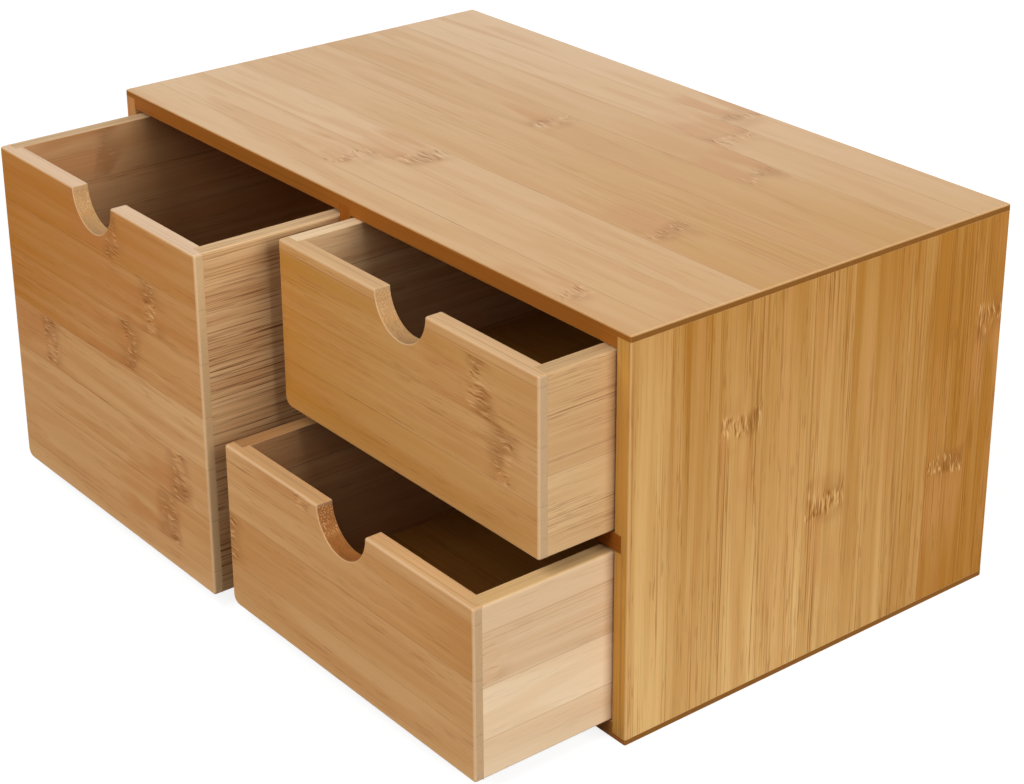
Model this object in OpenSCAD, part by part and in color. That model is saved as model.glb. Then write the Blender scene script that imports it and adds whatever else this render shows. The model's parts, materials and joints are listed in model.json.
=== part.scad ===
// Bamboo desk cabinet with one tall drawer beside two stacked shallow drawers.
// Millimetres. +X is the cabinet's width, -Y its open front, +Z up.
// The origin is the middle of the cabinet's underside.

/* [Cabinet] */
// Width over the outer faces of the side panels
width = 330; // [300:5:400]
// Depth from the open front to the back
depth = 189; // [160:1:240]
// Height from the underside to the top face
height = 160; // [140:5:220]
// Thickness of the cabinet's boards
board = 7; // [6:0.5:9]
// Thickness left over a rebate in a cabinet board
lap = 2.6; // [2:0.2:3.4]
// Depth of the housings that hold the divider and the shelf
housing = 3.4; // [2:0.2:3.4]
// Thickness of the back panel
back_board = 4; // [3:0.5:6]
// Clear width of the tall drawer's bay
tall_bay = 154.5; // [130:0.5:160]
// Clear height of the lower drawer's bay
lower_bay = 69.5; // [50:0.5:75]
// Rounding of the cabinet's outer edges
cabinet_arris = 0.8; // [0.2:0.1:1.2]

/* [Drawers] */
// Thickness of the drawers' fronts, sides and backs
drawer_board = 7; // [6:0.5:9]
// Thickness of a drawer front's or back's end where it laps over the sides
drawer_lap = 3.8; // [2.4:0.2:4.2]
// Thickness of the drawers' bottoms
bottom_board = 3; // [2:0.5:4]
// Height of a bottom's underside over its drawer's lower edge
bottom_rise = 4; // [2:0.5:8]
// Depth of the grooves that hold a drawer's bottom
groove = 2.4; // [1.4:0.2:2.4]
// Radius of the finger notch in the top edge of each front
notch_r = 15; // [10:0.5:20]
// Rounding of each front's lower left corner
corner_r = 4; // [1.5:0.5:6]
// Rounding of the drawers' outer edges
drawer_arris = 0.8; // [0.2:0.1:1.2]

/* [Running clearances] */
// Gap between a drawer and each wall of its bay
side_gap = 0.6; // [0.3:0.1:1]
// Gap under each drawer
floor_gap = 0.3; // [0.2:0.1:0.6]
// Gap over the tall drawer
tall_top_gap = 2.2; // [0.5:0.1:3]
// Gap over each shallow drawer
shallow_top_gap = 0.6; // [0.5:0.1:3]
// Gap behind a drawer whose front is flush with the cabinet
shut_gap = 0.5; // [0.3:0.1:4]

/* [Places] */
// How far the tall drawer stands open
tall_open = 64.5; // [0:0.5:150]
// How far the upper drawer stands open
upper_open = 33; // [0:0.5:150]
// How far the lower drawer stands open
lower_open = 61; // [0:0.5:150]

/* [Hidden] */
$fn = 64;

// How far a cutter runs past the face that it opens
past = 1;

// The cabinet's outer and inner faces
left = -width / 2;
right = width / 2;
front = -depth / 2;
rear = depth / 2;
bay_left = left + board;
bay_right = right - board;
bay_floor = board;
bay_ceiling = height - board;
bay_rear = rear - back_board;

// The divider and the shelf
divider_left = bay_left + tall_bay;
divider_right = divider_left + board;
shelf_under = bay_floor + lower_bay;
shelf_top = shelf_under + board;

// Each drawer: its left and right faces, lower and upper edges, and how far it stands open
tall = [
    bay_left + side_gap, divider_left - side_gap,
    bay_floor + floor_gap, bay_ceiling - tall_top_gap, tall_open
];
upper = [
    divider_right + side_gap, bay_right - side_gap,
    shelf_top + floor_gap, bay_ceiling - shallow_top_gap, upper_open
];
lower = [
    divider_right + side_gap, bay_right - side_gap,
    bay_floor + floor_gap, shelf_under - shallow_top_gap, lower_open
];
drawer_length = bay_rear - front - shut_gap;

function drawer_front_face(drawer) = front - drawer[4];
function drawer_rear_face(drawer) = drawer_front_face(drawer) + drawer_length;

// A block between two opposite corners
module block(from, to) {
    translate(from)
        cube(to - from);
}

// A rectangle between two opposite corners, its own corners rounded
module eased_rectangle(from, to, r) {
    translate([from[0] + r, from[1]])
        square([to[0] - from[0] - 2 * r, to[1] - from[1]]);
    translate([from[0], from[1] + r])
        square([to[0] - from[0], to[1] - from[1] - 2 * r]);
    for (x = [from[0] + r, to[0] - r])
        for (y = [from[1] + r, to[1] - r])
            translate([x, y])
                circle(r);
}

// A block whose twelve edges are rounded, as a box sanded after it is glued up
module eased_block(from, to, r) {
    intersection() {
        translate([0, 0, from[2]])
            linear_extrude(to[2] - from[2])
                eased_rectangle([from[0], from[1]], [to[0], to[1]], r);
        translate([0, to[1], 0])
            rotate([90, 0, 0])
                linear_extrude(to[1] - from[1])
                    eased_rectangle([from[0], from[2]], [to[0], to[2]], r);
        translate([from[0], 0, 0])
            rotate([90, 0, 90])
                linear_extrude(to[0] - from[0])
                    eased_rectangle([from[1], from[2]], [to[1], to[2]], r);
    }
}

module cabinet_outside() {
    eased_block([left, front, 0], [right, rear, height], cabinet_arris);
}

module drawer_outside(drawer) {
    eased_block(
        [drawer[0], drawer_front_face(drawer), drawer[2]],
        [drawer[1], drawer_rear_face(drawer), drawer[3]],
        drawer_arris
    );
}

// ---- Cabinet ----

// The bottom board: rebated over both ends and the back, and housed for the divider.
// The top board is its mirror image.
module end_board() {
    difference() {
        intersection() {
            cabinet_outside();
            block([left, front, 0], [right, rear, board]);
        }
        block([left - past, front - past, lap], [bay_left, rear + past, board + past]);
        block([bay_right, front - past, lap], [right + past, rear + past, board + past]);
        block([left - past, bay_rear, lap], [right + past, rear + past, board + past]);
        block([divider_left, front - past, board - housing], [divider_right, bay_rear, board + past]);
    }
}

// The left side, between the laps of top and bottom, rebated for the back panel.
// The right side is its mirror image, housed for the shelf.
module side_board() {
    difference() {
        intersection() {
            cabinet_outside();
            block([left, front, lap], [bay_left, rear, height - lap]);
        }
        block([left + lap, bay_rear, 0], [bay_left + past, rear + past, height]);
    }
}

module top_panel() {
    color([0.80, 0.66, 0.47])
        translate([0, 0, height])
            mirror([0, 0, 1])
                end_board();
}

module bottom_panel() {
    color([0.74, 0.58, 0.36])
        end_board();
}

module left_side_panel() {
    color([0.74, 0.57, 0.34])
        side_board();
}

module right_side_panel() {
    color([0.74, 0.57, 0.34])
        difference() {
            mirror([1, 0, 0])
                side_board();
            block([bay_right - past, front - past, shelf_under], [bay_right + housing, bay_rear, shelf_top]);
        }
}

module divider() {
    color([0.66, 0.45, 0.22])
        difference() {
            block(
                [divider_left, front, bay_floor - housing],
                [divider_right, bay_rear, bay_ceiling + housing]
            );
            block(
                [divider_right - housing, front - past, shelf_under],
                [divider_right + past, bay_rear + past, shelf_top]
            );
        }
}

module shelf() {
    color([0.66, 0.45, 0.22])
        block([divider_right - housing, front, shelf_under], [bay_right + housing, bay_rear, shelf_top]);
}

module back_panel() {
    color([0.72, 0.56, 0.36])
        block([left + lap, bay_rear, lap], [right - lap, rear, height - lap]);
}

// ---- Drawers ----

// The space of a drawer's bottom, which is also the groove around its four walls
module bottom_slot(drawer) {
    inset = drawer_board - groove;
    underside = drawer[2] + bottom_rise;
    block(
        [drawer[0] + inset, drawer_front_face(drawer) + inset, underside],
        [drawer[1] - inset, drawer_rear_face(drawer) - inset, underside + bottom_board]
    );
}

// A front before its notch is cut: full thickness between the sides, a lap over their ends.
// The back is its mirror image.
module cross_board(drawer) {
    face = drawer_front_face(drawer);
    difference() {
        intersection() {
            drawer_outside(drawer);
            union() {
                block([drawer[0], face, drawer[2]], [drawer[1], face + drawer_lap, drawer[3]]);
                block(
                    [drawer[0] + drawer_board, face, drawer[2]],
                    [drawer[1] - drawer_board, face + drawer_board, drawer[3]]
                );
            }
        }
        bottom_slot(drawer);
    }
}

// A side, between the laps of the front and the back
module side_wall(drawer, left_face) {
    difference() {
        intersection() {
            drawer_outside(drawer);
            block(
                [left_face, drawer_front_face(drawer) + drawer_lap, drawer[2]],
                [left_face + drawer_board, drawer_rear_face(drawer) - drawer_lap, drawer[3]]
            );
        }
        bottom_slot(drawer);
    }
}

// The half-round finger notch, cut through the front from above
module finger_notch(drawer) {
    translate([(drawer[0] + drawer[1]) / 2, drawer_front_face(drawer) - past, drawer[3]])
        rotate([-90, 0, 0])
            cylinder(r = notch_r, h = drawer_board + 2 * past);
}

// What the rounding takes off the lower left corner of a front's lap
module corner_waste(drawer) {
    translate([drawer[0], drawer_front_face(drawer) + drawer_lap, drawer[2]])
        rotate([90, 0, 0])
            linear_extrude(drawer_lap + past)
                difference() {
                    translate([-past, -past])
                        square(corner_r + past);
                    translate([corner_r, corner_r])
                        circle(corner_r);
                }
}

module drawer_front(drawer) {
    color([0.72, 0.50, 0.27])
        difference() {
            cross_board(drawer);
            finger_notch(drawer);
            corner_waste(drawer);
        }
}

module drawer_back(drawer) {
    color([0.78, 0.62, 0.43])
        translate([0, drawer_front_face(drawer) + drawer_rear_face(drawer), 0])
            mirror([0, 1, 0])
                cross_board(drawer);
}

module drawer_left_side(drawer) {
    color([0.80, 0.64, 0.46])
        side_wall(drawer, drawer[0]);
}

module drawer_right_side(drawer) {
    color([0.80, 0.64, 0.46])
        side_wall(drawer, drawer[1] - drawer_board);
}

module drawer_bottom(drawer) {
    color([0.82, 0.68, 0.50])
        bottom_slot(drawer);
}

top_panel();
bottom_panel();
left_side_panel();
right_side_panel();
divider();
shelf();
back_panel();

drawer_front(tall);  // tall_drawer_front
drawer_left_side(tall);  // tall_drawer_left_side
drawer_right_side(tall);  // tall_drawer_right_side
drawer_back(tall);  // tall_drawer_back
drawer_bottom(tall);  // tall_drawer_bottom

drawer_front(upper);  // upper_drawer_front
drawer_left_side(upper);  // upper_drawer_left_side
drawer_right_side(upper);  // upper_drawer_right_side
drawer_back(upper);  // upper_drawer_back
drawer_bottom(upper);  // upper_drawer_bottom

drawer_front(lower);  // lower_drawer_front
drawer_left_side(lower);  // lower_drawer_left_side
drawer_right_side(lower);  // lower_drawer_right_side
drawer_back(lower);  // lower_drawer_back
drawer_bottom(lower);  // lower_drawer_bottom
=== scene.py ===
"""The looks of a bamboo desk cabinet: one tall drawer beside two stacked shallow ones."""

import json
import math
import random

import bmesh
import bpy
from mathutils import Matrix, Vector

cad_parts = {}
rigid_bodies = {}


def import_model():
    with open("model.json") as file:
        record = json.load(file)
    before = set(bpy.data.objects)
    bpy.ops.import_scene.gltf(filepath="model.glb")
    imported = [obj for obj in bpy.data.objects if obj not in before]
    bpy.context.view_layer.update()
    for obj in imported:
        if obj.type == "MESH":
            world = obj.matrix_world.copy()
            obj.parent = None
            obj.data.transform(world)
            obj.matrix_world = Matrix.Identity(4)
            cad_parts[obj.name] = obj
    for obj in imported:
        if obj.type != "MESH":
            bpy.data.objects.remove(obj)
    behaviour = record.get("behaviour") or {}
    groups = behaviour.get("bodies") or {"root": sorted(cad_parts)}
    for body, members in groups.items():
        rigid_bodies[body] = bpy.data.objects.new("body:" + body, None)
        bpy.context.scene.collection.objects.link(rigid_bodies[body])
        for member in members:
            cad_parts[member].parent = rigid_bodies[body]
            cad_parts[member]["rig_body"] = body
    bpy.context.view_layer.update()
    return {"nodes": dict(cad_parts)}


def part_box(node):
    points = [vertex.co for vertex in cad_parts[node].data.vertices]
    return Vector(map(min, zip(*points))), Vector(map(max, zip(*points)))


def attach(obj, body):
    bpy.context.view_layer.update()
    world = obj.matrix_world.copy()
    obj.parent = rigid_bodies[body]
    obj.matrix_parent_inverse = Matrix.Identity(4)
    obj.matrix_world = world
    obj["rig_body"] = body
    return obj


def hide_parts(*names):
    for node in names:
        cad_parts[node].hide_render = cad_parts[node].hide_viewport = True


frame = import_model()

MM = 0.001
X, Y, Z = 0, 1, 2
TOUCH = 0.01 * MM          # two places closer than this are the same place
DRAWERS = ("tall_drawer", "upper_drawer", "lower_drawer")

# ---- Sizes that the boards' boxes don't say ----

CABINET_ARRIS = 0.8 * MM   # rounding of the cabinet's outer edges
DRAWER_ARRIS = 1.1 * MM    # rounding of the drawers' outer edges
INNER_ARRIS = 0.3 * MM     # inner edges that a hand touches
NOTCH_ARRIS = 0.45 * MM    # both edges of a finger notch
JOINT_ARRIS = 0.08 * MM    # edges that meet another board flush
ARRIS_STEPS = 4

NOTCH_RADIUS = 15 * MM
NOTCH_STEPS = 36
CORNER_RADIUS = 4 * MM     # lower left corner of each front
CORNER_STEPS = 8
CORNER_TURN = math.radians(20)   # a sharper turn than this is an edge of the board
FLAT_TURN = math.radians(1)      # and a smaller turn than this is none

# ---- Bamboo, in millimetres ----

STRIP_WIDTH = 22
STRIP_BLEND = 0.05         # the share of a strip over which its tone runs into the next one's
STRIP_SEED = 7.3           # keeps one strip's fibres from running on in the next
JOINT_HALF = 0.45          # half the width of the line between two strips
PLACE_SPAN = 1.4           # a strip's table places knuckles over this many board lengths

DENT_LENGTH = 5            # a knuckle's dents, side by side along the grain
DENT_PITCH = 0.7
DENT_WANDER = 2.2          # how far they run off straight lines
DENT_CONTRAST = 4
SPARSE_DENTS = 0.5         # how strong they are where they don't crowd
KNUCKLE_REACH = 8          # half a knuckle's length
KNUCKLE_WANDER = 10        # how far its line strays along the grain
SMUDGE_REACH = 13
GLOW_SHIFT = 14            # the redder cane lies more on one side of a knuckle
GLOW_REACH = 32            # how far it fades out to
GLOW_CORE = 8              # and within what it is in full
WISP_LENGTH = 45           # the redder cane runs out in wisps
WISP_PITCH = 7

PORE_PITCH = 0.9           # ends of fibre bundles, where the saw cut them across
PORE_SCATTER = 0.8         # from 0, in rows, to 1, anywhere
PORE_PATCHES = 0.25        # scale of the noise that crowds them
SPARSE_PORES = 0.3         # how strong they are where they don't crowd
OUTER_PORES = 0.3          # and outside the notch
NO_NOTCH = -1              # the half width of a notch that isn't there

# Scales of the noises that shape a knuckle, in patches per millimetre
PATCHES = {"wander": 0.09, "bend": 0.2, "crowd": 0.12, "smudge": 0.1}

# Bundles of fibres: how long they are, how far apart, and the levels of finer detail in them
BUNDLES = {"fine": (110, 0.6, 2.0), "crowded lines": (110, 7, 1.0), "stray wisps": (70, 6, 0.0)}
DETAIL_STRENGTH = 0.55     # of each level, against the one before

# Where a noise, a mask or a distance starts to count, and where it counts in full
FADES = {
    "fibres": (0.28, 0.72),
    "crowded dents": (0.3, 0.55),
    "smudge": (0.62, 0.38),
    "wisps": (0.35, 0.6),
    "pore": (0.45, 0.15),
    "crowded pores": (0.4, 0.6),
    "end or edge": (0.6, 0.8),
    "arris": (0.1, 0.4),
    "stray wisps": (0.55, 1),
    "notch": (0.2, -0.2),
    "crowded lines": (0.2, 0.75),
    "line": (0.58, 0.95),
    "thread": (0.42, 0.1),
    "streak": (0.75, 1),
    "edge line": (0.5, 0.9),
    "raised dent": (0.1, 1),
    "sunk dent": (-0.1, -1),
}

# How strongly a mark colours the bamboo, and how far it stands up or sinks
TINTS = {
    "blush": 0.6, "stray wisps": 0.45, "edge line": 0.14, "raised dent": 0.6,
    "sunk dent": 0.8, "joint": 0.22}
RELIEF = {"dents": 0.6, "pores": 0.6, "hollows": -0.35}
SAWN_FADING = 0.6          # how much weaker the fibre lines are where the saw went
LINE_ROUGHNESS = 0.06      # how much rougher they are than the lacquer
PALE_LIFT = 16             # how much lighter the pale fibres are, of 255
BUMP_STRENGTH = 0.5
BUMP_DEPTH = 0.15 * MM
GLOSS = 0.1

# What the strips of a board are drawn from, if they aren't listed
ODD_TONES = (0.2, 0.6)
ODD_TONE_CHANGE = 0.1      # at most this much from one end to the other
ODD_LINES = (0.3, 0.8)

# ---- The camera, as the photograph's edges give it ----

CAMERA_PLACE = Vector((682.56, -554.88, 476.82)) * MM
CAMERA_HEADING = 51.81     # degrees to the left of straight on
CAMERA_DIP = 22.61         # degrees below the horizon
CAMERA_ROLL = -0.41        # degrees
CAMERA_LENS = 81.53        # millimetres, as is the sensor
CAMERA_SENSOR = 36
CAMERA_SHIFT = (0.0088, -0.133)

# ---- Lamps, floor and background ----

# A soft lamp's direction from the object, distance, size and power in watts
LAMPS = {
    "front": (Vector((0.10, -1.00, 1.00)), 2.0, 1.4, 27),
    "right": (Vector((1.00, 0.15, 0.50)), 2.0, 1.2, 28),
    "back": (Vector((-0.70, 1.00, 0.50)), 2.0, 1.4, 16),
}
SKY_LIGHT = 0.05           # what the white surroundings add from every side
FLOOR_HALF = 0.9
FLOOR_GREY = 150
FLOOR_ROUGHNESS = 0.9
FLOOR_LIFT = 0.84          # makes the floor white where it is looked at
WHITE = (1, 1, 1, 1)
BLACK = (0, 0, 0, 1)


# ---- Boards ----

def only(kind, found):
    """What is of one kind, such as faces, among what an operator gives."""
    return [g for g in found if isinstance(g, kind)]


class Outline:
    """A closed outline in a plane square to Y, drawn as one stroke and then made a board."""

    def __init__(self, y, start):
        self.bm = bmesh.new()
        self.y = y
        self.first = self.last = self.bm.verts.new((start[0], y, start[1]))

    def line(self, *points):
        for x, z in points:
            vert = self.bm.verts.new((x, self.y, z))
            self.bm.edges.new((self.last, vert))
            self.last = vert
        return self

    def arc(self, centre, angle, steps):
        spun = bmesh.ops.spin(
            self.bm, geom=[self.last], cent=(centre[0], self.y, centre[1]), axis=(0, 1, 0),
            angle=angle, steps=steps, use_duplicate=False)
        self.last = only(bmesh.types.BMVert, spun["geom_last"])[0]
        return self

    def thicken(self, depth):
        """Fills the outline and draws it out along Y. Gives the board and its new end face."""
        self.bm.edges.new((self.last, self.first))
        face = bmesh.ops.contextual_create(self.bm, geom=self.bm.edges[:])["faces"][0]
        return self.bm, pull(self.bm, face, depth, keep=True)


def pull(bm, face, by, axis=Y, keep=False):
    """Pulls a face of the board by a distance along an axis, and gives the new end face."""
    pulled = bmesh.ops.extrude_face_region(bm, geom=[face], use_keep_orig=True)["geom"]
    if not keep:
        bmesh.ops.delete(bm, geom=[face], context="FACES_ONLY")
    step = Vector((0, 0, 0))
    step[axis] = by
    bmesh.ops.translate(bm, verts=only(bmesh.types.BMVert, pulled), vec=step)
    return only(bmesh.types.BMFace, pulled)[0]


def parts(bm, face, axis, *places):
    """Scores a face across an axis at these places, and gives its parts from low to high."""
    faces = [face]
    for place in places:
        point, normal = Vector((0, 0, 0)), Vector((0, 0, 0))
        point[axis], normal[axis] = place, 1
        around = {g for f in faces for g in (*f.verts, *f.edges)}
        cut = bmesh.ops.bisect_plane(
            bm, geom=[*faces, *around], plane_co=point, plane_no=normal, dist=TOUCH)
        faces = only(bmesh.types.BMFace, cut["geom"])
    return sorted(faces, key=lambda f: f.calc_center_median()[axis])


def flat(axis, place):
    """A test for points on a plane."""
    return lambda p: abs(p[axis] - place) < TOUCH


def rounded(x, z, radius):
    """A test for points on a round face along Y."""
    return lambda p: abs(math.hypot(p.x - x, p.z - z) - radius) < TOUCH


def outside(low, high, arris):
    """The six outer faces that a board shares with its cabinet or drawer."""
    return [(flat(axis, corner[axis]), arris) for corner in (low, high) for axis in (X, Y, Z)]


def ease_edges(bm, eased):
    """Weighs each outside corner for the Bevel modifier and gives the widest rounding.

    eased lists the faces whose edges show, each with the rounding of its edges. An edge where
    two of them meet gets the smaller rounding, and every other corner is a flush joint.
    """
    widest = max([JOINT_ARRIS, *(arris for _, arris in eased)])
    weight = bm.edges.layers.float.new("bevel_weight_edge")
    for edge in bm.edges:
        turn = edge.calc_face_angle_signed(0)
        edge.smooth = turn > -CORNER_TURN
        if turn > CORNER_TURN:
            a, b = (v.co for v in edge.verts)
            found = sorted(arris for on, arris in eased if on(a) and on(b))
            edge[weight] = (found[0] if len(found) > 1 else JOINT_ARRIS) / widest
    return widest


def make_mesh(name, bm, material):
    mesh = bpy.data.meshes.new(name)
    bm.to_mesh(mesh)
    bm.free()
    mesh.materials.append(material)
    return mesh


def put(name, data):
    """Adds an object to the scene: a mesh, the camera or a lamp."""
    added = bpy.data.objects.new(name, data)
    bpy.context.scene.collection.objects.link(added)
    return added


def set_board(node, bm, eased, material):
    """Puts a finished board in the cabinet or drawer, in place of its CAD node."""
    bmesh.ops.dissolve_limit(bm, angle_limit=FLAT_TURN, verts=bm.verts[:], edges=bm.edges[:])
    bmesh.ops.recalc_face_normals(bm, faces=bm.faces[:])
    widest = ease_edges(bm, eased)
    name = node + "_board"
    mesh = make_mesh(name, bm, material)
    mesh.shade_smooth()
    piece = put(name, mesh)
    ease = piece.modifiers.new("eased edges", "BEVEL")
    ease.limit_method = "WEIGHT"
    ease.width = widest
    ease.segments = ARRIS_STEPS
    ease.harden_normals = True
    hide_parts(node)
    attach(piece, frame["nodes"][node]["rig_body"])


def plain_board(node):
    """A board with no laps or housings."""
    low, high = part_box(node)
    return Outline(low.y, (low.x, low.z)).line(
        (high.x, low.z), (high.x, high.z), (low.x, high.z)).thicken(high.y - low.y)[0]


def end_board(node, outer, inward):
    """The top or bottom board, from its outer face inwards: it laps over sides and back."""
    low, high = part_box(node)
    side_low, side_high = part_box("left_side_panel")
    divider_low, divider_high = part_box("divider")
    floor_low, floor_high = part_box("bottom_panel")
    back_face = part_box("back_panel")[0].y
    inner = outer + inward * (high.z - low.z)
    lapped = outer + inward * (side_low.z - floor_low.z)
    housed = inner - inward * (floor_high.z - divider_low.z)
    bm, end = Outline(low.y, (low.x, outer)).line(
        (high.x, outer), (high.x, lapped), (-side_high.x, lapped), (-side_high.x, inner),
        (divider_high.x, inner), (divider_high.x, housed), (divider_low.x, housed),
        (divider_low.x, inner), (side_high.x, inner), (side_high.x, lapped),
        (low.x, lapped)).thicken(back_face - low.y)
    below, above = parts(bm, end, Z, lapped)
    pull(bm, below if inward > 0 else above, high.y - back_face)
    return bm


def side_board(node, outer, inner, housing):
    """A side between the laps of top and bottom, lapped over the back, housed for the shelf."""
    low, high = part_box(node)
    back_low, back_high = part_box("back_panel")
    bm, end = Outline(low.y, (outer, low.z)).line(
        (inner, low.z), *housing, (inner, high.z), (outer, high.z)).thicken(back_low.y - low.y)
    towards_left, towards_right = parts(bm, end, X, back_low.x if outer < 0 else back_high.x)
    pull(bm, towards_left if outer < 0 else towards_right, high.y - back_low.y)
    return bm


def shelf_housing(inner, end):
    """The outline of the groove that holds one end of the shelf."""
    low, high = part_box("shelf")
    return (inner, low.z), (end, low.z), (end, high.z), (inner, high.z)


def divider_board():
    """The divider, housed for the shelf in its right face."""
    low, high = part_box("divider")
    shelf_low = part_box("shelf")[0]
    return Outline(low.y, (low.x, low.z)).line(
        (high.x, low.z), *shelf_housing(high.x, shelf_low.x), (high.x, high.z),
        (low.x, high.z)).thicken(high.y - low.y)[0]


def cross_board(drawer, outline, face, inward):
    """A drawer's front or back from its outer face inwards: lapped over the sides, and grooved."""
    bottom_low, bottom_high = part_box(drawer + "_bottom")
    left_low, left_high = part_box(drawer + "_left_side")
    right_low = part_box(drawer + "_right_side")[0]
    board = left_high.x - left_low.x
    lapped = left_low.y if inward > 0 else left_high.y
    grooved = bottom_low.y if inward > 0 else bottom_high.y
    bm, end = outline.thicken(lapped - face)
    middle = pull(bm, parts(bm, end, X, left_high.x, right_low.x)[1], grooved - lapped)
    below, _, above = parts(bm, middle, Z, bottom_low.z, bottom_high.z)
    for part in (below, above):
        pull(bm, part, face + inward * board - grooved)
    return bm


def notch_centre(drawer):
    """The middle of a finger notch's half circle, on the front's top edge."""
    low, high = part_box(drawer + "_front")
    return (low.x + high.x) / 2, high.z


def corner_centre(drawer):
    """The middle of the rounding at a front's lower left corner."""
    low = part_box(drawer + "_front")[0]
    return low.x + CORNER_RADIUS, low.z + CORNER_RADIUS


def front_outline(drawer):
    """A front's outline, with the finger notch and the rounded lower left corner."""
    low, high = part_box(drawer + "_front")
    notch_x, top = notch_centre(drawer)
    corner = corner_centre(drawer)
    return (
        Outline(low.y, (notch_x, low.z))
        .line((high.x, low.z), (high.x, top), (notch_x + NOTCH_RADIUS, top))
        .arc((notch_x, top), math.pi, NOTCH_STEPS)
        .line((low.x, top), (low.x, corner[1]))
        .arc(corner, -math.pi / 2, CORNER_STEPS))


def back_outline(drawer):
    low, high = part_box(drawer + "_back")
    return Outline(high.y, (low.x, low.z)).line((high.x, low.z), (high.x, high.z), (low.x, high.z))


def side_wall(node, drawer, inner, grooved):
    """A drawer's side with the stopped groove for the bottom in its inner face."""
    bottom_low, bottom_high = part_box(drawer + "_bottom")
    bm = plain_board(node)
    face = next(f for f in bm.faces if all(flat(X, inner)(v.co) for v in f.verts))
    groove = parts(bm, face, Z, bottom_low.z, bottom_high.z)[1]
    groove = parts(bm, groove, Y, bottom_low.y, bottom_high.y)[1]
    pull(bm, groove, grooved - inner, X)
    return bm


def build_cabinet(materials):
    top_low, top_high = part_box("top_panel")
    floor_low, floor_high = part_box("bottom_panel")
    left_low, left_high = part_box("left_side_panel")
    right_low, right_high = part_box("right_side_panel")
    divider_low, divider_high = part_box("divider")
    shelf_low, shelf_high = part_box("shelf")
    shell = outside(floor_low, top_high, CABINET_ARRIS)
    boards = {
        "top_panel": (end_board("top_panel", top_high.z, -1), flat(Z, top_low.z)),
        "bottom_panel": (end_board("bottom_panel", floor_low.z, 1), flat(Z, floor_high.z)),
        "left_side_panel": (
            side_board("left_side_panel", left_low.x, left_high.x, ()), flat(X, left_high.x)),
        "right_side_panel": (
            side_board("right_side_panel", right_high.x, right_low.x,
                       shelf_housing(right_low.x, shelf_high.x)), flat(X, right_low.x)),
        "divider": (divider_board(), flat(X, divider_low.x), flat(X, divider_high.x)),
        "shelf": (plain_board("shelf"), flat(Z, shelf_low.z), flat(Z, shelf_high.z)),
        "back_panel": (plain_board("back_panel"),),
    }
    for node, (bm, *inner_faces) in boards.items():
        eased = shell + [(on, INNER_ARRIS) for on in inner_faces]
        set_board(node, bm, eased, materials[node])


def build_drawer(drawer, materials):
    front_low, front_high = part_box(drawer + "_front")
    back_low, back_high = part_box(drawer + "_back")
    bottom_low, bottom_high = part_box(drawer + "_bottom")
    left_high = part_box(drawer + "_left_side")[1]
    right_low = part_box(drawer + "_right_side")[0]
    shell = outside(front_low, back_high, DRAWER_ARRIS)
    boards = {
        "front": (
            cross_board(drawer, front_outline(drawer), front_low.y, 1),
            (flat(Y, front_high.y), INNER_ARRIS),
            (rounded(*notch_centre(drawer), NOTCH_RADIUS), NOTCH_ARRIS),
            (rounded(*corner_centre(drawer), CORNER_RADIUS), DRAWER_ARRIS)),
        "back": (
            cross_board(drawer, back_outline(drawer), back_high.y, -1),
            (flat(Y, back_low.y), INNER_ARRIS)),
        "left_side": (
            side_wall(drawer + "_left_side", drawer, left_high.x, bottom_low.x),
            (flat(X, left_high.x), INNER_ARRIS)),
        "right_side": (
            side_wall(drawer + "_right_side", drawer, right_low.x, bottom_high.x),
            (flat(X, right_low.x), INNER_ARRIS)),
        "bottom": (plain_board(drawer + "_bottom"),),
    }
    for part, (bm, *inner_faces) in boards.items():
        node = f"{drawer}_{part}"
        set_board(node, bm, shell + inner_faces, materials[node])


# ---- Shader nodes ----

def rgb(red, green, blue):
    """A colour as a screen shows it, from 0 to 255, in Blender's linear values."""
    return tuple(
        c / 12.92 if c <= 0.04045 else ((c + 0.055) / 1.055) ** 2.4
        for c in (red / 255, green / 255, blue / 255)) + (1,)


class Nodes:
    """A shader tree in which an input is given a value, or the output that feeds it."""

    def __init__(self, tree):
        self.tree = tree

    def feed(self, sockets, inputs):
        for name, value in inputs.items():
            if isinstance(value, bpy.types.NodeSocket):
                self.tree.links.new(value, sockets[name])
            else:
                sockets[name].default_value = value

    def add(self, kind, inputs, **settings):
        """Adds a node and gives its outputs."""
        node = self.tree.nodes.new("ShaderNode" + kind)
        for name, value in settings.items():
            setattr(node, name, value)
        self.feed(node.inputs, inputs)
        return node.outputs

    def group(self, name, inputs):
        """Places a shared node group and gives its outputs."""
        return self.add("Group", inputs, node_tree=GROUPS[name]).values()

    def math(self, operation, *values):
        return self.add("Math", dict(enumerate(values)), operation=operation)[0]

    def split(self, vector):
        """Gives a vector's three parts."""
        return self.add("SeparateXYZ", {"Vector": vector}).values()

    def join(self, x, y, z=0.0):
        """Makes a vector of its parts."""
        return self.add("CombineXYZ", {"X": x, "Y": y, "Z": z})[0]

    def noise(self, place, scale=1.0, detail=0.0, roughness=0.5):
        return self.add("TexNoise", {
            "Vector": place, "Scale": scale, "Detail": detail, "Roughness": roughness})[0]

    def fade(self, value, start, end):
        """Goes smoothly from 0 to 1 while the value goes from start to end."""
        return self.add(
            "MapRange", {"Value": value, "From Min": start, "From Max": end},
            interpolation_type="SMOOTHSTEP")["Result"]

    def tint(self, colour, towards, amount):
        """Mixes a colour with another, from 0, none of it, to 1, only that one."""
        return self.add("Mix", {0: amount, 6: colour, 7: towards}, data_type="RGBA")[2]


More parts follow.
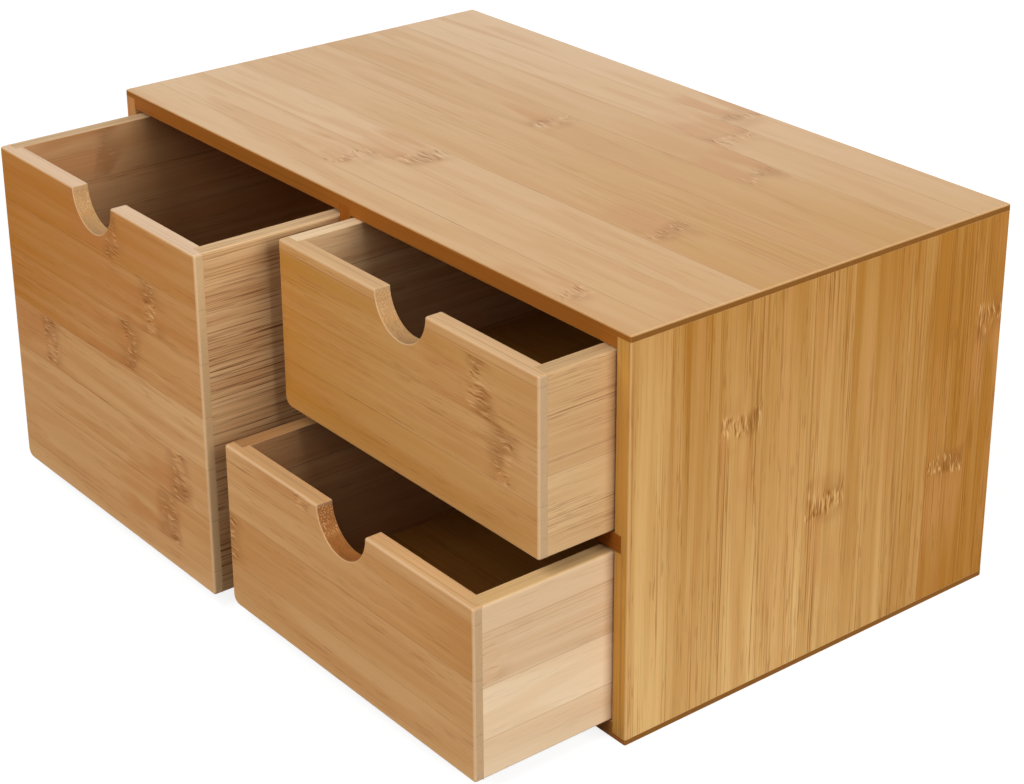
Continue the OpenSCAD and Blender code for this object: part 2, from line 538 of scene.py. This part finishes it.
def new_group(name, inputs, outputs):
    """A node group for several materials: its nodes, and its two ends inside."""
    tree = bpy.data.node_groups.new(name, "ShaderNodeTree")
    for way, sockets in (("INPUT", inputs), ("OUTPUT", outputs)):
        for socket, kind in sockets.items():
            tree.interface.new_socket(socket, in_out=way, socket_type="NodeSocket" + kind)
    given = tree.nodes.new("NodeGroupInput").outputs
    result = tree.nodes.new("NodeGroupOutput").inputs
    return Nodes(tree), given, result


def new_material(name):
    """A material, its nodes, and the sockets of its shader."""
    material = bpy.data.materials.new(name)
    material.use_nodes = True
    tree = material.node_tree
    return material, Nodes(tree), tree.nodes["Principled BSDF"].inputs


# ---- Bamboo ----
# A board is glued up from strips that lie side by side. Places on it are in millimetres: along
# the grain from the board's middle, across the grain from its low edge, and through it.

def strip_group():
    """Tells on which strip a point is, and whether it is on the joint between two."""
    nodes, given, result = new_group(
        "Strip", {"Board": "Vector", "Width": "Float", "Cut": "Float", "Count": "Float"},
        {"Lookup": "Float", "Joint": "Float", "Seed": "Float"})
    _, across, _ = nodes.split(given["Board"])
    strips = nodes.math("DIVIDE", nodes.math("ADD", across, given["Cut"]), given["Width"])
    index = nodes.math("FLOOR", strips)
    within = nodes.math("FRACT", strips)
    nearer = nodes.math("MINIMUM", within, nodes.math("SUBTRACT", 1, within))
    # The lookup is halfway between two strips at their joint, and on a strip's middle elsewhere
    blend = nodes.math("ADD", nodes.fade(within, 0, STRIP_BLEND),
                       nodes.fade(within, 1 - STRIP_BLEND, 1))
    blended = nodes.math("MULTIPLY_ADD", blend, 0.5, index)
    nodes.feed(result, {
        "Lookup": nodes.math("DIVIDE", blended, given["Count"]),
        "Joint": nodes.fade(nodes.math("MULTIPLY", nearer, given["Width"]), JOINT_HALF, 0),
        "Seed": nodes.math("MULTIPLY", index, STRIP_SEED),
    })
    return nodes.tree


def fibre_group():
    """Bundles of fibres: they change slowly along the board and quickly across it."""
    nodes, given, result = new_group(
        "Fibres", {"Board": "Vector", "Seed": "Float", "Length": "Float", "Pitch": "Float",
                   "Detail": "Float"},
        {"Fibres": "Float"})
    along, across, through = nodes.split(given["Board"])
    place = nodes.join(
        nodes.math("ADD", nodes.math("DIVIDE", along, given["Length"]), given["Seed"]),
        nodes.math("ADD", nodes.math("DIVIDE", across, given["Pitch"]), given["Seed"]),
        nodes.math("DIVIDE", through, given["Pitch"]))
    noise = nodes.noise(place, detail=given["Detail"], roughness=DETAIL_STRENGTH)
    nodes.feed(result, {"Fibres": nodes.fade(noise, *FADES["fibres"])})
    return nodes.tree


def knuckle_group():
    """A knuckle of the cane: short dents side by side across the strip, in a smudge."""
    nodes, given, result = new_group(
        "Knuckle", {"Board": "Vector", "Place": "Float", "Seed": "Float"},
        {"Dents": "Float", "Smudge": "Float", "Glow": "Float"})
    along, across, _ = nodes.split(given["Board"])

    def patches(kind, detail=0.0):
        return nodes.noise(given["Board"], PATCHES[kind], detail)

    wander = nodes.math("MULTIPLY_ADD", patches("wander"), KNUCKLE_WANDER, -KNUCKLE_WANDER / 2)
    past = nodes.math("SUBTRACT", nodes.math("ADD", along, wander), given["Place"])
    beside = nodes.math("ABSOLUTE", past)

    bent = nodes.math("MULTIPLY_ADD", patches("bend", 1.0), DENT_WANDER, across)
    dents = nodes.noise(nodes.join(
        nodes.math("DIVIDE", past, DENT_LENGTH), nodes.math("DIVIDE", bent, DENT_PITCH),
        given["Seed"]), detail=0.5)
    dents = nodes.math("MULTIPLY_ADD", dents, DENT_CONTRAST, -DENT_CONTRAST / 2)
    crowd = nodes.fade(patches("crowd", 1.0), *FADES["crowded dents"])
    crowd = nodes.math("MULTIPLY_ADD", crowd, 1 - SPARSE_DENTS, SPARSE_DENTS)
    in_row = nodes.math("MULTIPLY", crowd, nodes.fade(beside, KNUCKLE_REACH, KNUCKLE_REACH / 3))

    trail = nodes.math("ABSOLUTE", nodes.math("ADD", past, GLOW_SHIFT))
    wisps = nodes.noise(nodes.join(
        nodes.math("DIVIDE", past, WISP_LENGTH), nodes.math("DIVIDE", across, WISP_PITCH),
        given["Seed"]), detail=1.0)
    nodes.feed(result, {
        "Dents": nodes.math("MULTIPLY", dents, in_row),
        "Smudge": nodes.math("MULTIPLY", nodes.fade(beside, SMUDGE_REACH, 0),
                             nodes.fade(patches("smudge"), *FADES["smudge"])),
        "Glow": nodes.math("MULTIPLY", nodes.fade(trail, GLOW_REACH, GLOW_CORE),
                           nodes.fade(wisps, *FADES["wisps"])),
    })
    return nodes.tree


def pore_group():
    """The cut ends of the fibre bundles: pale dots that crowd in some places."""
    nodes, given, result = new_group("Pores", {"Board": "Vector"}, {"Dots": "Float"})
    _, across, through = nodes.split(given["Board"])
    place = nodes.join(
        nodes.math("DIVIDE", across, PORE_PITCH), nodes.math("DIVIDE", through, PORE_PITCH))
    apart = nodes.add(
        "TexVoronoi", {"Vector": place, "Scale": 1, "Randomness": PORE_SCATTER},
        voronoi_dimensions="2D")["Distance"]
    crowd = nodes.fade(nodes.noise(place, PORE_PATCHES, 2.0), *FADES["crowded pores"])
    crowd = nodes.math("MULTIPLY_ADD", crowd, 1 - SPARSE_PORES, SPARSE_PORES)
    nodes.feed(result, {
        "Dots": nodes.math("MULTIPLY", nodes.fade(apart, *FADES["pore"]), crowd)})
    return nodes.tree


def facing_group():
    """Tells the ends of a board, its long edges and its eased arrises from its two faces."""
    nodes, given, result = new_group(
        "Facing", {"Normal": "Vector"}, {"End": "Float", "Edge": "Float", "Arris": "Float"})
    end, edge, face = (nodes.math("ABSOLUTE", n) for n in nodes.split(given["Normal"]))
    aslant = nodes.math("MULTIPLY", face, nodes.math("MAXIMUM", end, edge))
    nodes.feed(result, {
        "End": nodes.fade(end, *FADES["end or edge"]),
        "Edge": nodes.fade(edge, *FADES["end or edge"]),
        "Arris": nodes.fade(aslant, *FADES["arris"]),
    })
    return nodes.tree


def bamboo_group():
    """Bamboo under lacquer: strips, fibres, knuckles and joints, and the cut edges of the board."""
    nodes, given, result = new_group(
        "Bamboo", {
            "Board": "Vector", "Normal": "Vector", "Strip": "Color", "Lines": "Float",
            "Joint": "Float", "Seed": "Float", "Length": "Float",
            "Light": "Color", "Dark": "Color", "Line": "Color", "Pale": "Color",
            "Blush": "Color", "End": "Color", "Edge": "Color", "Arris": "Color",
            "Notch": "Color", "Notch Half": "Float", "Pores": "Float",
            "Drift": "Float", "Drift Length": "Float", "Drift Pitch": "Float",
            "Bundling": "Float", "Line Depth": "Float", "Threads": "Float", "Streaks": "Float",
            "Streak Length": "Float", "Streak Pitch": "Float", "Smudges": "Float",
            "Knuckles": "Float", "Wear": "Float", "Smoothness": "Float"},
        {"Color": "Color", "Roughness": "Float", "Height": "Float"})

    def fibres(length, pitch, detail):
        return nodes.group("Fibres", {
            "Board": given["Board"], "Seed": given["Seed"], "Length": length,
            "Pitch": pitch, "Detail": detail})[0]

    def weigh(mask, amount):
        return nodes.math("MULTIPLY", mask, amount)

    end, edge, arris = nodes.group("Facing", {"Normal": given["Normal"]})
    sawn = nodes.math("MAXIMUM", end, edge)
    on_face = nodes.math("SUBTRACT", 1, sawn)

    near, place, far = nodes.split(given["Strip"])
    middle = nodes.math("MULTIPLY", nodes.math("SUBTRACT", place, 0.5),
                        nodes.math("MULTIPLY", given["Length"], PLACE_SPAN))
    knuckle = nodes.group(
        "Knuckle", {"Board": given["Board"], "Place": middle, "Seed": given["Seed"]})
    dents, smudge, glow = (weigh(mark, on_face) for mark in knuckle)
    dents = weigh(dents, given["Knuckles"])

    # The strip's tone, which changes along it, and redder cane. On some boards the change
    # along a strip is painted shade, and on the top also a painted sheen
    along, _, _ = nodes.split(given["Board"])
    share = nodes.math("ADD", nodes.math("DIVIDE", along, given["Length"]), 0.5)
    tone = nodes.math("MULTIPLY_ADD", nodes.math("SUBTRACT", far, near), share, near)
    drift = fibres(given["Drift Length"], given["Drift Pitch"], 1.0)
    drift = nodes.math("MULTIPLY_ADD", drift, given["Drift"], weigh(given["Drift"], -0.5))
    colour = nodes.tint(given["Light"], given["Dark"], nodes.math("ADD", tone, drift))
    stray = nodes.fade(fibres(*BUNDLES["stray wisps"]), *FADES["stray wisps"])
    blush = nodes.math("MAXIMUM", glow, weigh(stray, TINTS["stray wisps"]))
    colour = nodes.tint(colour, given["Blush"], weigh(blush, TINTS["blush"]))

    # Sawn edges and ends, with the pores of the end grain
    past_notch = nodes.math("SUBTRACT", nodes.math("ABSOLUTE", along), given["Notch Half"])
    in_notch = nodes.fade(past_notch, *FADES["notch"])
    dots = nodes.group("Pores", {"Board": given["Board"]})[0]
    showing = nodes.math("MULTIPLY_ADD", in_notch, 1 - OUTER_PORES, OUTER_PORES)
    pores = weigh(weigh(dots, end), weigh(given["Pores"], showing))
    colour = nodes.tint(colour, nodes.tint(given["Edge"], given["Notch"], in_notch), edge)
    colour = nodes.tint(colour, nodes.tint(given["End"], given["Notch"], in_notch), end)
    colour = nodes.tint(colour, given["Pale"], pores)

    # Fibre lines, pale threads between them, and short dark streaks
    fine = fibres(*BUNDLES["fine"])
    crowded = nodes.fade(fibres(*BUNDLES["crowded lines"]), *FADES["crowded lines"])
    loose = nodes.math("SUBTRACT", 1, crowded)
    shown = weigh(nodes.math("MULTIPLY_ADD", sawn, -SAWN_FADING, 1),
                  nodes.math("SUBTRACT", 1, weigh(loose, given["Bundling"])))
    line = weigh(weigh(nodes.fade(fine, *FADES["line"]), given["Lines"]), shown)
    thread = weigh(weigh(nodes.fade(fine, *FADES["thread"]), given["Lines"]), shown)
    dashes = fibres(given["Streak Length"], given["Streak Pitch"], 1.0)
    streak = weigh(weigh(nodes.fade(dashes, *FADES["streak"]), given["Streaks"]), shown)
    colour = nodes.tint(colour, given["Pale"], weigh(thread, given["Threads"]))
    for mark in (line, streak):
        colour = nodes.tint(colour, given["Line"], weigh(mark, given["Line Depth"]))
    edge_line = weigh(nodes.fade(fine, *FADES["edge line"]), edge)
    colour = nodes.tint(colour, BLACK, weigh(edge_line, TINTS["edge line"]))

    # Knuckles, the joints between strips, and a painted highlight on the eased arrises
    raised_dent = nodes.fade(dents, *FADES["raised dent"])
    sunk_dent = nodes.fade(dents, *FADES["sunk dent"])
    colour = nodes.tint(colour, given["Line"], weigh(smudge, given["Smudges"]))
    colour = nodes.tint(colour, given["Pale"], weigh(raised_dent, TINTS["raised dent"]))
    colour = nodes.tint(colour, given["Line"], weigh(sunk_dent, TINTS["sunk dent"]))
    colour = nodes.tint(colour, given["Line"], weigh(given["Joint"], TINTS["joint"]))
    # A painted highlight: the paler arris colour laid on the eased arrises
    colour = nodes.tint(colour, given["Arris"], weigh(arris, given["Wear"]))

    lacquer = nodes.math("SUBTRACT", 1, given["Smoothness"])
    rough = nodes.math("ADD", fine, streak)
    hollows = nodes.math("ADD", nodes.math("ADD", line, streak), given["Joint"])
    raised = nodes.math("MULTIPLY_ADD", dents, RELIEF["dents"], weigh(pores, RELIEF["pores"]))
    nodes.feed(result, {
        "Color": colour,
        "Roughness": nodes.math("MULTIPLY_ADD", rough, LINE_ROUGHNESS, lacquer),
        "Height": nodes.math("MULTIPLY_ADD", hollows, RELIEF["hollows"], raised),
    })
    return nodes.tree


def strip_table(nodes, lookup, strips, length):
    """Holds each strip's values in a ramp's stop: tone at both ends, knuckle, fibre lines."""
    node = nodes.tree.nodes.new("ShaderNodeValToRGB")
    node.label = "strips"
    ramp = node.color_ramp
    for i, (near, far, knuckle, lines) in enumerate(strips):
        middle = (i + 0.5) / len(strips)
        stop = ramp.elements[0] if i == 0 else ramp.elements.new(middle)
        place = 0 if knuckle is None else knuckle / (length * PLACE_SPAN) + 0.5
        stop.position = middle
        stop.color = (near, place, far, lines)
    while len(ramp.elements) > len(strips):
        ramp.elements.remove(ramp.elements[-1])
    nodes.feed(node.inputs, {"Fac": lookup})
    return node.outputs


def lie_of(node):
    """The axis of a board's grain, and the axis across it."""
    if node in ("left_side_panel", "right_side_panel", "divider"):
        return Z, Y
    if node.endswith(("_left_side", "_right_side")):
        return Y, Z
    if node.endswith(("_front", "_back")) or node == "back_panel":
        return X, Z
    return X, Y


def odd_strips(node, count):
    """Strips as they come, for a board whose own strips the photograph doesn't show."""
    chance = random.Random(node)
    grain = lie_of(node)[0]
    low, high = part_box(node)
    half = (high[grain] - low[grain]) / MM / 2
    strips = []
    for _ in range(count):
        tone = chance.uniform(*ODD_TONES)
        knuckle = chance.uniform(-half, half)
        far_tone = tone + chance.uniform(-ODD_TONE_CHANGE, ODD_TONE_CHANGE)
        strips.append((tone, far_tone, knuckle, chance.uniform(*ODD_LINES)))
    return strips


def bamboo(node, looks, strips=None, first=STRIP_WIDTH, width=STRIP_WIDTH):
    """A board's own material. first is the width that the saw left of its first strip."""
    grain, across = lie_of(node)
    low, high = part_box(node)
    length = (high[grain] - low[grain]) / MM
    if strips is None:
        strips = odd_strips(node, math.ceil((high[across] - low[across]) / MM / width))
    ways = Matrix.Identity(3)
    turn = Matrix((ways[grain], ways[across], ways[grain].cross(ways[across])))
    start = (low + high) / 2
    start[across] = low[across]
    material, nodes, shader = new_material(node + "_bamboo")
    place = nodes.add("TexCoord", {})
    board = nodes.add("Mapping", {
        "Vector": place["Object"], "Location": turn @ start / -MM,
        "Rotation": turn.to_euler(), "Scale": [1 / MM] * 3})[0]
    normal = nodes.add(
        "Mapping", {"Vector": place["Normal"], "Rotation": turn.to_euler()},
        vector_type="VECTOR")[0]
    lookup, joint, seed = nodes.group("Strip", {
        "Board": board, "Width": width, "Cut": width - first, "Count": len(strips)})
    strip, lines = strip_table(nodes, lookup, strips, length).values()
    colour, roughness, height = nodes.group("Bamboo", {
        "Board": board, "Normal": normal, "Strip": strip, "Lines": lines, "Joint": joint,
        "Seed": seed, "Length": length, **looks})
    bump = nodes.add("Bump", {
        "Height": height, "Strength": BUMP_STRENGTH, "Distance": BUMP_DEPTH})[0]
    nodes.feed(shader, {
        "Base Color": colour, "Roughness": roughness, "Normal": bump,
        "Specular IOR Level": GLOSS})
    return material


# ---- Finishes ----
# A light and a dark colour, between which the strips' tones lie, the colour of the fibre lines,
# and what differs from the plainest board.

def finish(light, dark, line, **changes):
    """A kind of board's colours, and how strong its marks are, for the Bamboo group."""
    return {
        "Light": rgb(*light), "Dark": rgb(*dark), "Line": rgb(*line),
        "Pale": rgb(*(min(255, c + PALE_LIFT) for c in light)), "Blush": rgb(*dark),
        "End": rgb(*dark), "Edge": rgb(*dark), "Arris": rgb(*light),
        "Notch": rgb(*dark), "Notch Half": NO_NOTCH, "Pores": 0.6,
        "Drift": 0.2, "Drift Length": 130, "Drift Pitch": 5, "Bundling": 0.8,
        "Line Depth": 0.6, "Threads": 0.2, "Streaks": 0.4, "Streak Length": 14,
        # The arris colour, and the strength with which it is laid on the eased arrises, make a
        # painted highlight
        "Streak Pitch": 1.1, "Smudges": 0.3, "Knuckles": 1, "Wear": 0.3, "Smoothness": 0.42,
        **{name.replace("_", " ").title(): rgb(*value) if isinstance(value, tuple) else value
           for name, value in changes.items()}}


# In these finishes the arris colours and their strengths make a painted highlight on the arrises
TOP = finish(
    (231, 196, 157), (195, 145, 78), (150, 98, 48), blush=(202, 148, 100),
    edge=(168, 100, 34), end=(138, 88, 30), arris=(232, 188, 134), pores=0.1,
    drift=0.1, drift_length=80, drift_pitch=9, line_depth=0.4, threads=0.12,
    streaks=0.3, streak_length=24, smudges=0.3, knuckles=0.85, wear=0.5)
CASE = finish(
    (233, 188, 121), (180, 121, 44), (144, 86, 26), blush=(204, 142, 80),
    edge=(212, 156, 76), end=(150, 92, 26), arris=(226, 182, 124), drift=0.3,
    line_depth=0.8, threads=0.12, smudges=0.45, knuckles=1.15, wear=0.5)
# Darker than the case boards: painted shade inside the cabinet, on the divider and the shelf
INNER = finish(
    (186, 134, 70), (160, 100, 36), (126, 74, 26), edge=(172, 96, 26), arris=(180, 116, 50))
THIN_BACK = finish((216, 170, 104), (184, 128, 62), (146, 94, 42))
# The drawer bottoms are made dark as painted shade inside the drawers
SHADED_THIN_BOTTOM = finish((150, 98, 42), (122, 72, 22), (96, 54, 16), smoothness=0.3)
FRONT = finish(
    (236, 184, 126), (202, 132, 54), (150, 88, 34), blush=(206, 138, 74),
    end=(200, 166, 126), edge=(214, 172, 124), arris=(236, 200, 158),
    notch=(194, 150, 100), notch_half=NOTCH_RADIUS / MM, pores=0.4, line_depth=0.5,
    smudges=0.4, knuckles=0.9, wear=0.5)
WALL = finish(
    (232, 196, 146), (190, 136, 82), (128, 78, 38), blush=(186, 126, 76),
    end=(196, 160, 118), edge=(224, 186, 140), arris=(226, 188, 140),
    drift=0.15, streak_pitch=0.6, smoothness=0.35)
SAWN_WALL = {
    **WALL, "Drift": 0.3, "Line Depth": 0.9, "Threads": 0.3, "Streaks": 1.0,
    "Streak Length": 30, "Bundling": 0.3}
# Darker than the outer walls: painted shade for the insides of the drawers
SHADED_INSIDE_WALL = {
    **WALL, "Light": rgb(206, 160, 112), "Dark": rgb(148, 92, 42),
    "Line": rgb(104, 60, 24), "Knuckles": 0.4}


# ---- Each board's finish and strips ----
# Strips are listed from a board's low or front edge: the tone at both ends of the grain, from 0,
# light, to 1, dark, the knuckle's place in millimetres from the board's middle, and how strong
# the fibre lines are. On some boards the change from end to end is painted shade, noted there.

def cabinet_boards():
    return {
        # The top's strips are paler at the left end and darker at the right: a painted sheen and
        # painted shade
        "top_panel": {"looks": TOP, "first": 15.6, "strips": [
            (0.05, 0.65, 128, 0.05), (0.00, 0.65, -36, 0.05), (0.00, 0.60, -16, 0.05),
            (0.20, 0.90, 109, 0.10), (0.20, 0.90, None, 0.40), (0.30, 0.85, -13, 0.10),
            (0.10, 0.85, 85, 0.15), (0.00, 0.62, 47, 0.05), (0.00, 0.50, 28, 0.05)]},
        "bottom_panel": {"looks": TOP},
        "left_side_panel": {"looks": {**CASE, "Edge": rgb(216, 148, 86)}, "first": 12},
        "right_side_panel": {"looks": CASE, "first": 19, "strips": [
            (0.00, 0.60, None, 0.5), (0.35, 0.90, None, 0.7), (0.10, 0.80, 33, 0.8),
            (0.00, 0.80, None, 0.4), (0.30, 0.75, -14, 0.9), (0.40, 0.85, None, 0.5),
            (0.60, 0.90, None, 0.6), (1.00, 1.00, -21, 0.7), (1.00, 1.00, 37, 0.6)]},
        "divider": {"looks": INNER},
        "shelf": {"looks": INNER},
        "back_panel": {"looks": THIN_BACK, "first": 17},
    }


def front_boards():
    tall = {
        **FRONT, "Dark": rgb(199, 126, 44), "Blush": rgb(204, 130, 68),
        "End": rgb(212, 178, 132), "Edge": rgb(248, 216, 180), "Knuckles": 1}
    upper = {**FRONT, "Dark": rgb(200, 138, 54)}
    lower = {
        **FRONT, "Edge": rgb(216, 172, 120), "Notch": rgb(170, 110, 56), "Pores": 0.55,
        "Knuckles": 1.2}
    return {
        "tall_drawer_front": {"looks": tall, "first": 10.3, "width": 22.2, "strips": [
            (0.15, 0.00, None, 0.15), (0.20, 0.40, 44, 0.15), (0.30, 0.25, 55, 0.15),
            (0.50, 0.05, -45, 0.20), (0.95, 0.35, 23, 0.25), (1.00, 0.55, 42, 0.25),
            (1.00, 0.65, 14, 0.30)]},
        "upper_drawer_front": {"looks": upper, "first": 20.3, "strips": [
            (0.90, 0.45, None, 0.2), (0.85, 0.25, 57, 0.3), (0.85, 0.40, 45, 0.3),
            (0.40, 0.35, None, 0.3)]},
        "lower_drawer_front": {"looks": lower, "first": 18.6, "width": 21.8, "strips": [
            (0.35, 0.10, None, 0.2), (0.55, 0.30, -78, 0.2), (0.20, 0.65, None, 0.2),
            (0.15, 0.32, -23, 0.2)]},
    }


def right_side_boards():
    upper = {
        **WALL, "Blush": rgb(206, 158, 106), "Edge": rgb(200, 162, 116), "Drift": 0.1,
        "Streaks": 0.55, "Streak Length": 12, "Streak Pitch": 0.45}
    lower = {
        **WALL, "Light": rgb(250, 222, 184), "Blush": rgb(224, 180, 134),
        "Edge": rgb(212, 174, 120), "Drift": 0.12, "Streaks": 0.3, "Line Depth": 0.4,
        "Smudges": 0.15, "Knuckles": 0.5}
    return {
        "tall_drawer_right_side": {"looks": SAWN_WALL, "first": 9, "strips": [
            (0.50, 0.50, None, 0.7), (0.50, 0.50, None, 0.6), (0.40, 0.35, None, 0.4),
            (0.35, 0.45, 7, 0.5), (0.20, 0.50, 62, 0.6), (0.40, 0.55, None, 0.5),
            (0.45, 0.50, None, 0.5)]},
        # Its strips darken towards the back, where it runs into the cabinet: painted shade
        "upper_drawer_right_side": {"looks": upper, "first": 9, "strips": [
            (0.40, 1.00, None, 0.5), (0.20, 1.00, None, 0.5), (0.52, 1.00, None, 0.6),
            (0.50, 1.00, None, 0.8)]},
        "lower_drawer_right_side": {"looks": lower, "first": 15.6, "width": 21, "strips": [
            (0.20, 0.38, None, 0.2), (0.05, 0.25, None, 0.2), (0.40, 0.65, -88, 0.4),
            (0.35, 0.55, None, 0.3)]},
    }


def left_side_boards():
    tall = {**SHADED_INSIDE_WALL, "Edge": rgb(234, 198, 152)}
    # The upper drawer's inner wall and its top edge are made lighter: painted light where the lamps
    # leave them in shade
    upper = {**SHADED_INSIDE_WALL, "Light": rgb(216, 178, 132), "Edge": rgb(242, 210, 168)}
    # The lower drawer's left top edge is darker: a painted shadow of the upper drawer
    lower = {**SHADED_INSIDE_WALL, "Edge": rgb(180, 134, 86)}
    return {
        # The inner walls darken towards their back ends: painted shade deeper inside the drawers
        "tall_drawer_left_side": {"looks": tall, "first": 11.5, "strips": [
            (0.50, 1.00, None, 0.2), (0.40, 1.00, None, 0.2), (0.50, 1.00, None, 0.2),
            (0.50, 1.00, None, 0.2), (0.20, 1.00, None, 0.2), (0.10, 1.00, None, 0.3),
            (0.00, 1.00, -47, 0.3)]},
        "upper_drawer_left_side": {"looks": upper, "first": 9, "strips": [
            (0.10, 0.65, None, 0.2), (0.05, 0.65, None, 0.2), (0.00, 0.65, None, 0.3),
            (0.00, 0.65, None, 0.6)]},
        "lower_drawer_left_side": {"looks": lower, "first": 9, "strips": [
            (0.30, 0.60, None, 0.3), (0.30, 0.60, None, 0.2), (0.20, 0.60, None, 0.3),
            (0.20, 0.60, None, 0.4)]},
    }


def back_and_bottom_boards(drawer):
    return {
        drawer + "_back": {"looks": SHADED_INSIDE_WALL, "first": 9},
        drawer + "_bottom": {"looks": SHADED_THIN_BOTTOM},
    }


# ---- Stage ----

def aim_camera():
    data = bpy.data.cameras.new("camera")
    data.lens = CAMERA_LENS
    data.sensor_width = CAMERA_SENSOR
    data.shift_x, data.shift_y = CAMERA_SHIFT
    camera = put("camera", data)
    turn = (
        Matrix.Rotation(math.radians(CAMERA_HEADING), 4, "Z")
        @ Matrix.Rotation(math.radians(90 - CAMERA_DIP), 4, "X")
        @ Matrix.Rotation(math.radians(CAMERA_ROLL), 4, "Z"))
    camera.matrix_world = Matrix.Translation(CAMERA_PLACE) @ turn
    bpy.context.scene.camera = camera


def hang_lamp(name, direction, distance, size, watts):
    data = bpy.data.lights.new(name, "AREA")
    data.shape = "SQUARE"
    data.size = size
    data.energy = watts
    lamp = put(name, data)
    towards = direction.normalized()
    lamp.location = towards * distance
    lamp.rotation_euler = towards.to_track_quat("Z", "Y").to_euler()


def seen_directly(nodes):
    """1 where the background is looked at, also in a reflection or through glass."""
    paths = nodes.add("LightPath", {})
    seen = paths["Is Camera Ray"]
    for ray in ("Is Glossy Ray", "Is Transmission Ray"):
        seen = nodes.math("MAXIMUM", seen, paths[ray])
    return seen


def light_surroundings():
    world = bpy.data.worlds.new("studio")
    bpy.context.scene.world = world
    world.use_nodes = True
    nodes = Nodes(world.node_tree)
    level = nodes.add("MapRange", {
        "Value": seen_directly(nodes), "To Min": SKY_LIGHT, "To Max": 1})["Result"]
    background = nodes.tree.nodes["Background"]
    nodes.feed(background.inputs, {"Color": WHITE, "Strength": level})


def lay_floor():
    material, nodes, shader = new_material("white floor")
    nodes.feed(shader, {
        "Base Color": rgb(FLOOR_GREY, FLOOR_GREY, FLOOR_GREY), "Roughness": FLOOR_ROUGHNESS,
        "Specular IOR Level": 0.0, "Emission Color": WHITE,
        "Emission Strength": nodes.math("MULTIPLY", seen_directly(nodes), FLOOR_LIFT)})
    bm = bmesh.new()
    bmesh.ops.create_grid(bm, x_segments=1, y_segments=1, size=FLOOR_HALF)
    put("floor", make_mesh("floor", bm, material))


aim_camera()
for lamp_name, setting in LAMPS.items():
    hang_lamp(lamp_name, *setting)
light_surroundings()
lay_floor()

GROUPS = {}
for make_group in (
        strip_group, fibre_group, knuckle_group, pore_group, facing_group, bamboo_group):
    group_tree = make_group()
    GROUPS[group_tree.name] = group_tree

bamboos = {**cabinet_boards(), **front_boards(), **right_side_boards(), **left_side_boards()}
for drawer in DRAWERS:
    bamboos.update(back_and_bottom_boards(drawer))
materials = {node: bamboo(node, **chosen) for node, chosen in bamboos.items()}

build_cabinet(materials)
for drawer in DRAWERS:
    build_drawer(drawer, materials)

bpy.context.scene.view_settings.view_transform = "Standard"
